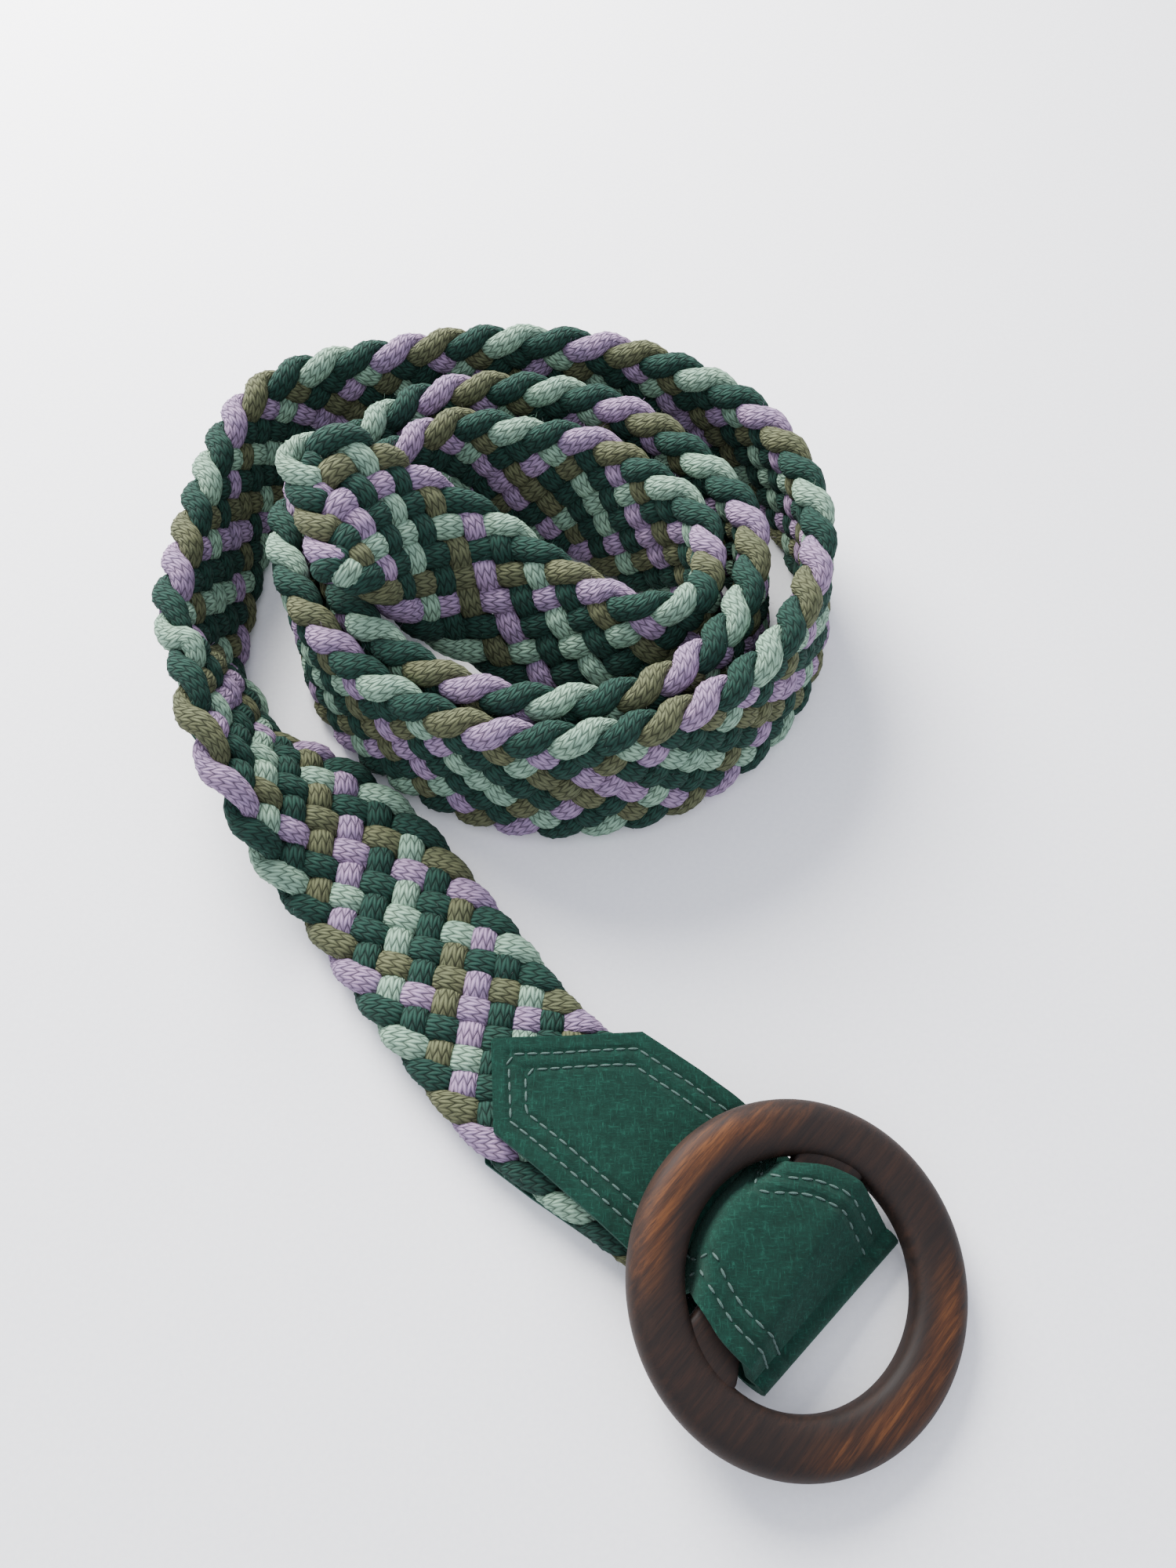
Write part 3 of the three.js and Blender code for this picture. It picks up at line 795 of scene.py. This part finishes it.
def loose_fibres(shape, chance):
    """Places, ways and lengths of the short fibres that stand out of a cord."""
    shape.faces.ensure_lookup_table()
    fibres = []
    for _ in range(FIBRES_PER_CORD):
        face = shape.faces[chance.randrange(len(shape.faces))]
        loose = Vector((chance.uniform(-1, 1), chance.uniform(-1, 1), chance.uniform(-1, 1)))
        way = (face.normal * 0.7 + loose * 0.8).normalized()
        if way.dot(face.normal) > 0.15:
            fibres.append((face.calc_center_median(), way, chance.uniform(0.6, 2.0) * MM))
    return fibres


def fibre_shape(fibres):
    """One thin cone for each fibre, made in small groups so that the script stays quick."""
    whole = bmesh.new()
    group = bpy.data.meshes.new("fibre_group")
    for first in range(0, len(fibres), 120):
        part = bmesh.new()
        for place, way, length in fibres[first:first + 120]:
            turned = way.to_track_quat("Z", "Y").to_matrix().to_4x4()
            moved = Matrix.Translation(place + way * length * 0.46)
            bmesh.ops.create_cone(part, cap_ends=True, segments=3, radius1=FIBRE_RADIUS * MM,
                                  radius2=FIBRE_RADIUS * 0.2 * MM, depth=length, matrix=moved @ turned)
        part.to_mesh(group)
        part.free()
        whole.from_mesh(group)
    bpy.data.meshes.remove(group)
    return whole


def build_plait():
    chance = random.Random(11)
    cottons = {name: cotton_material("cotton_" + name, colour) for name, colour in COLOURS.items()}
    fibres = {name: [] for name in COLOURS}
    for strand in range(STRANDS):
        colour = STRAND_COLOURS[strand % len(STRAND_COLOURS)]
        shape = cord_shape(strand)
        fibres[colour] += loose_fibres(shape, chance)
        cord = new_piece(f"cord_{strand}_{colour}", shape, cottons[colour])
        cord.data.uv_layers[0].name = "cord"
        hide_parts("braid_band")
    for name, found in fibres.items():
        new_piece("fibres_" + name, fibre_shape(found), fibre_material(name))


# The felt strap.

ALONG = Vector((math.cos(STRAP_HEADING), math.sin(STRAP_HEADING), 0))
ACROSS = Vector((-ALONG.y, ALONG.x, 0))
RING_PLACE = (Vector((TAIL[0][0] * COIL_RADIUS, TAIL[0][1] * COIL_RADIUS, 0))
              + ALONG * BAND_END_TO_RING - ACROSS * BAND_END_SIDE)
BAR_START = BAR_OFFSET - BAR_WIDTH / 2
BAR_END = BAR_OFFSET + BAR_WIDTH / 2
FOOT_REACH = RING_OUTER - RING_SHOULDER
LEAN_REACH = FELT_THICKNESS + 2 * SEAT_CLEARANCE - BAR_START
RING_TILT = math.asin((STRAP_END_TOP + SEAT_CLEARANCE) / (FOOT_REACH + LEAN_REACH))
RING_HEIGHT = (FOOT_REACH * math.sin(RING_TILT) + RING_SHOULDER
               + (RING_THICKNESS / 2 - RING_SHOULDER) * math.cos(RING_TILT))


def bar_point(along, out):
    return (along * math.cos(RING_TILT) + out * math.sin(RING_TILT),
            RING_HEIGHT - along * math.sin(RING_TILT) + out * math.cos(RING_TILT))


def strap_rows():
    """Rows (along, slant, near, far, near height, far height, crown, dome) of the felt's middle.

    They follow the part's source, but inside the ring the felt goes down from the bar to its
    sewn end as one smooth dome, as soft felt does. The dome's foot follows the ring's inner edge.
    """
    half_felt = FELT_THICKNESS / 2
    gap = 2 * SEAT_CLEARANCE + half_felt
    last_near, last_far = UPPER_LAYER[-1][1:3]

    def section(along, share, z_near, z_far=None):
        near = mix(last_near, FOLD_NEAR, share) * STRAP_WIDTH
        far = mix(last_far, FOLD_FAR, share) * STRAP_WIDTH
        if z_far is None:
            z_far = z_near
        return (along, FOLD_SLANT * share * share, near, far, z_near, z_far, 0, 0)

    def threaded(along, share, z, crown=0, dome=0, wide=0):
        row = section(along, share, z)
        inside = ((along - half_felt) * math.cos(RING_TILT)
                  - (z + half_felt - RING_HEIGHT) * math.sin(RING_TILT))
        room = math.sqrt(max(0, RING_INNER ** 2 - inside ** 2)) - 3 * SEAT_CLEARANCE
        near = mix(max(row[2], -room), last_near * STRAP_WIDTH, wide)
        far = mix(min(row[3] + 2.2, room), last_far * STRAP_WIDTH, wide)
        return (along, 0, near, far, z, z, crown, dome)

    def layer(row, z):
        return (row[0] * STRAP_REACH, 0, row[1] * STRAP_WIDTH, row[2] * STRAP_WIDTH, z, z, 0, 0)

    rows = [layer(row, half_felt) for row in LOWER_LAYER]
    rows.append(section(BAR_START, 0.4, half_felt))
    rows.append(section(BAR_END, 0.8, half_felt))
    open_near = FOLD_OPEN_NEAR * STRAP_TOP - FELT_THICKNESS
    open_far = FOLD_OPEN_FAR * STRAP_TOP - FELT_THICKNESS
    bulge = FOLD_BULGE * STRAP_TOP
    for step in range(9):
        angle = math.radians(-90 + 22.5 * step)
        up = (1 + math.sin(angle)) / 2
        along = FOLD_REACH - bulge + math.cos(angle) * bulge
        rows.append(section(along, 1, half_felt + open_near * up, half_felt + open_far * up))
    top_end = bar_point(BAR_END, BAR_THICKNESS / 2)
    top_start = bar_point(BAR_START, BAR_THICKNESS / 2)
    for turn, crown in ((40, 0.3), (80, 0.7)):
        angle = math.radians(turn)
        rows.append(threaded(top_end[0] + gap * math.cos(angle), 0.75,
                             top_end[1] + gap * math.sin(angle), crown))
    rows.append(threaded((top_end[0] + top_start[0]) / 2, 0.55,
                         (top_end[1] + top_start[1]) / 2 + gap, 1))
    for back, dome, wide in DOME_ROWS:
        rows.append(threaded(top_start[0] - back, 0.4, top_start[1] + gap, 1, dome, wide))
    sewn = [row for row in UPPER_LAYER if row[0] * STRAP_REACH < DOME_FOOT]
    rows += [layer(row, mix(STRAP_TOP, STRAP_END_TOP, row[3]) - half_felt) for row in reversed(sewn)]
    return rows


def fine_rows(rows, spacing=1.2):
    """The strap's rows at close, even steps: straight along the sewn layers, smooth round the bar."""
    straight = {0, 1, 2, 3, len(rows) - 2, len(rows) - 3, len(rows) - 4, len(rows) - 5}
    made = []
    for k in range(len(rows) - 1):
        a, b = rows[k], rows[k + 1]
        before = rows[max(k - 1, 0)]
        after = rows[min(k + 2, len(rows) - 1)]
        far = max(abs(b[0] - a[0]), abs(b[4] - a[4]), abs(b[5] - a[5]))
        steps = max(1, round(far / spacing))
        for j in range(steps):
            t = j / steps
            if k in straight:
                made.append(tuple(mix(x, y, t) for x, y in zip(a, b)))
            else:
                made.append(tuple(catmull_rom(*four, t) for four in zip(before, a, b, after)))
    made.append(rows[-1])
    return made


def strap_point(row, share):
    along, slant, near, far, z_near, z_far, crown, dome = row
    across = mix(near, far, share)
    spot = RING_PLACE + ALONG * (along + slant * across) + ACROSS * across
    spot.z = mix(z_near, z_far, share) + FELT_CROWN * crown * (1 - (2 * share - 1) ** 2)
    low = STRAP_END_TOP - FELT_THICKNESS / 2
    from_rim = RING_INNER - math.hypot(along, across)
    spot.z = mix(spot.z, mix(low, spot.z, smooth(from_rim, 0.5, DOME_SLOPE)), dome)
    if spot.z > 3:
        spot.z += noise.noise(spot * 0.09 + Vector((0, 4.2, 0))) * 0.3
    return spot


STRAP_ROWS = fine_rows(strap_rows())
STRAP_COLUMNS = 40
STRAP_LENGTHS = [0.0]
for behind, ahead in zip(STRAP_ROWS, STRAP_ROWS[1:]):
    STRAP_LENGTHS.append(STRAP_LENGTHS[-1] + (strap_point(ahead, 0.5) - strap_point(behind, 0.5)).length)


def strap_row(length):
    """The strap's row at a length of felt from its lower tip."""
    k = min(max(bisect.bisect_right(STRAP_LENGTHS, length), 1), len(STRAP_ROWS) - 1)
    share = (length - STRAP_LENGTHS[k - 1]) / (STRAP_LENGTHS[k] - STRAP_LENGTHS[k - 1])
    return tuple(mix(a, b, share) for a, b in zip(STRAP_ROWS[k - 1], STRAP_ROWS[k]))


def edge_distance(length, across):
    """How far a point of the felt is from the nearest cut edge."""
    row = strap_row(length)
    best = min(across - row[2], row[3] - across)
    from_tip = min(length, STRAP_LENGTHS[-1] - length)
    if from_tip > 30:
        return best
    spot = Vector((length, across))
    order = range(len(STRAP_ROWS) - 1)
    if length > STRAP_LENGTHS[-1] / 2:
        order = reversed(order)
    for count, k in enumerate(order):
        if count > 32:
            break
        for side in (2, 3):
            p = Vector((STRAP_LENGTHS[k], STRAP_ROWS[k][side]))
            q = Vector((STRAP_LENGTHS[k + 1], STRAP_ROWS[k + 1][side]))
            t = min(1, max(0, (spot - p).dot(q - p) / max((q - p).length_squared, 1e-9)))
            best = min(best, (spot - p.lerp(q, t)).length)
    return best


def build_strap():
    rows = len(STRAP_ROWS)
    shape = bmesh.new()
    bmesh.ops.create_grid(shape, x_segments=rows - 1, y_segments=STRAP_COLUMNS, size=1)
    # The sewn rows' mask: the felt's material bumps the dip in with it and paints shade along it.
    dip = shape.verts.layers.float.new("sewn_dip")
    for vert in shape.verts:
        k = round((vert.co.x + 1) / 2 * (rows - 1))
        row = STRAP_ROWS[k]
        share = (vert.co.y + 1) / 2
        away = edge_distance(STRAP_LENGTHS[k], mix(row[2], row[3], share))
        nearest = min(abs(away - sewn) for sewn in SEWN_ROWS)
        vert[dip] = max(0, 1 - nearest / 1.1)
        vert.co = world(strap_point(row, share))
    felt = new_piece("felt_wrap", shape, felt_material())
    wall = felt.modifiers.new("wall", "SOLIDIFY")
    wall.thickness = FELT_THICKNESS * MM
    wall.offset = 0
    wall.use_even_offset = False
    edge = felt.modifiers.new("soft_edge", "BEVEL")
    edge.width = 0.35 * MM
    edge.segments = 2
    edge.limit_method = "ANGLE"
    edge.angle_limit = math.radians(50)
    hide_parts("felt_strap")
    build_stitches()


def sewn_line(inset):
    """Points (length, across) of a sewn row: up one edge of the upper layer and down the other."""
    sides = []
    for side in (1, -1):
        line = []
        length = STITCHES_START
        while length < STRAP_LENGTHS[-1]:
            row = strap_row(length)
            outer = row[2] if side > 0 else row[3]
            inner = (row[2] + row[3]) / 2
            if edge_distance(length, inner) > inset:
                for _ in range(9):
                    middle = (outer + inner) / 2
                    if edge_distance(length, middle) < inset:
                        outer = middle
                    else:
                        inner = middle
                line.append(Vector((length, inner)))
            length += 1.0
        sides.append(line)
    return sides[0] + sides[1][::-1]


def felt_surface(spot):
    """A place on the felt's outer side, and the direction outwards, in millimetres."""
    def middle(length, across):
        row = strap_row(length)
        return strap_point(row, (across - row[2]) / (row[3] - row[2]))

    place = middle(spot.x, spot.y)
    ahead = middle(spot.x + 0.4, spot.y) - place
    beside = middle(spot.x, spot.y + 0.4) - place
    out = beside.cross(ahead).normalized()
    return place + out * FELT_THICKNESS / 2, out


def build_stitches():
    """Running stitches: a short thread for each, pulled a little into the felt at its ends."""
    chance = random.Random(7)
    shape = bmesh.new()
    for inset in SEWN_ROWS:
        line = sewn_line(inset)
        walked = 0.0
        wanted = 0.0
        for a, b in zip(line, line[1:]):
            step = (b - a).length
            while wanted <= walked + step:
                spot = a.lerp(b, (wanted - walked) / step)
                way = (b - a).normalized()
                place, out = felt_surface(spot)
                ahead, _ = felt_surface(spot + way * 0.5)
                along = (ahead - place).normalized()
                side = out.cross(along).normalized()
                turned = Matrix((along, side, along.cross(side))).transposed().to_4x4()
                half = STITCH_LENGTH / 2 * chance.uniform(0.88, 1.08)
                sized = Matrix.Diagonal((half * MM, THREAD_RADIUS * MM, THREAD_RADIUS * 0.8 * MM, 1))
                moved = Matrix.Translation(world(place + out * 0.06))
                bmesh.ops.create_uvsphere(shape, u_segments=10, v_segments=6, radius=1,
                                          matrix=moved @ turned @ sized)
                wanted += STITCH_STEP
            walked += step
    new_piece("strap_stitches", shape, thread_material())


# The wooden ring.

def ring_spot(along, across, out):
    """A place on the ring: along the strap and across it from the ring's middle, and out of it."""
    flat, height = bar_point(along, out)
    spot = RING_PLACE + ALONG * flat + ACROSS * across
    spot.z = height
    return world(spot)


def oval(angle, half_width, half_height, squareness):
    """A point of a rounded section: an oval at squareness 2, nearer a rectangle above it."""
    power = 2 / squareness
    across = math.copysign(abs(math.cos(angle)) ** power, math.cos(angle))
    up = math.copysign(abs(math.sin(angle)) ** power, math.sin(angle))
    return half_width * across, half_height * up


def build_ring():
    """A turned ring with a domed face, and a flat bar whose ends widen into the ring."""
    shape = bmesh.new()
    bmesh.ops.create_circle(shape, segments=40, radius=1, cap_ends=False)
    for vert in shape.verts:
        angle = math.atan2(vert.co.y, vert.co.x)
        squareness = mix(2.9, 2.35, smooth(math.cos(angle), -0.8, 0.8))
        across, up = oval(angle, RING_WIDTH / 2, RING_THICKNESS / 2, squareness)
        vert.co = Vector((RING_OUTER - RING_WIDTH / 2 + across, 0, up))
    bmesh.ops.spin(shape, geom=shape.verts[:] + shape.edges[:], cent=(0, 0, 0), axis=(0, 0, 1),
                   angle=2 * math.pi, steps=160, use_merge=True)
    bmesh.ops.remove_doubles(shape, verts=shape.verts, dist=1e-4)
    rings, around = 41, 32
    bar = bmesh.ops.create_grid(shape, x_segments=rings - 1, y_segments=around, size=1)["verts"]
    half_length = 24.4
    flare_start = 20.5
    for vert in bar:
        share = vert.co.x
        angle = math.pi * vert.co.y
        from_rim = flare_start - abs(share) * half_length
        flare = BAR_FLARE * (1 - smooth(from_rim, -2, 4.5)) ** 1.5
        along, out = oval(angle, BAR_WIDTH / 2 + flare, BAR_THICKNESS / 2 + flare * 0.3, 5.5)
        vert.co = Vector((BAR_OFFSET + along, share * half_length, out))
    bmesh.ops.remove_doubles(shape, verts=bar, dist=1e-4)
    bmesh.ops.holes_fill(shape, edges=[e for e in shape.edges if e.is_boundary])
    for vert in shape.verts:
        vert.co = ring_spot(*vert.co)
    bmesh.ops.recalc_face_normals(shape, faces=shape.faces)
    ring = new_piece("wooden_ring", shape, wood_material())
    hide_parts("ring_buckle")


def build_floor():
    shape = bmesh.new()
    bmesh.ops.create_grid(shape, x_segments=1, y_segments=1, size=3)
    mesh = bpy.data.meshes.new("floor")
    shape.to_mesh(mesh)
    shape.free()
    mesh.materials.append(floor_material())
    floor = bpy.data.objects.new("floor", mesh)
    bpy.context.collection.objects.link(floor)


def add_light(name, place, target, size, power, colour):
    data = bpy.data.lights.new(name, "AREA")
    data.shape = "DISK"
    data.size = size
    data.energy = power
    data.color = colour
    light = bpy.data.objects.new(name, data)
    bpy.context.collection.objects.link(light)
    light.location = place
    way = Vector(target) - Vector(place)
    light.rotation_euler = way.to_track_quat("-Z", "Y").to_euler()


def set_light():
    world_light = bpy.data.worlds.new("soft_room")
    world_light.use_nodes = True
    sky = world_light.node_tree.nodes["Background"]
    sky.inputs["Color"].default_value = (0.86, 0.89, 1.0, 1)
    sky.inputs["Strength"].default_value = 1.35
    bpy.context.scene.world = world_light
    add_light("window", (-0.34, 0.6, 0.48), (0, 0, 0), 0.55, 28.0, (1.0, 0.985, 0.965))
    add_light("front_fill", (0.1, -0.9, 0.9), (0, 0, 0), 1.1, 2.0, (0.97, 0.98, 1.0))


build_floor()
set_light()
build_plait()
build_ring()
build_strap()
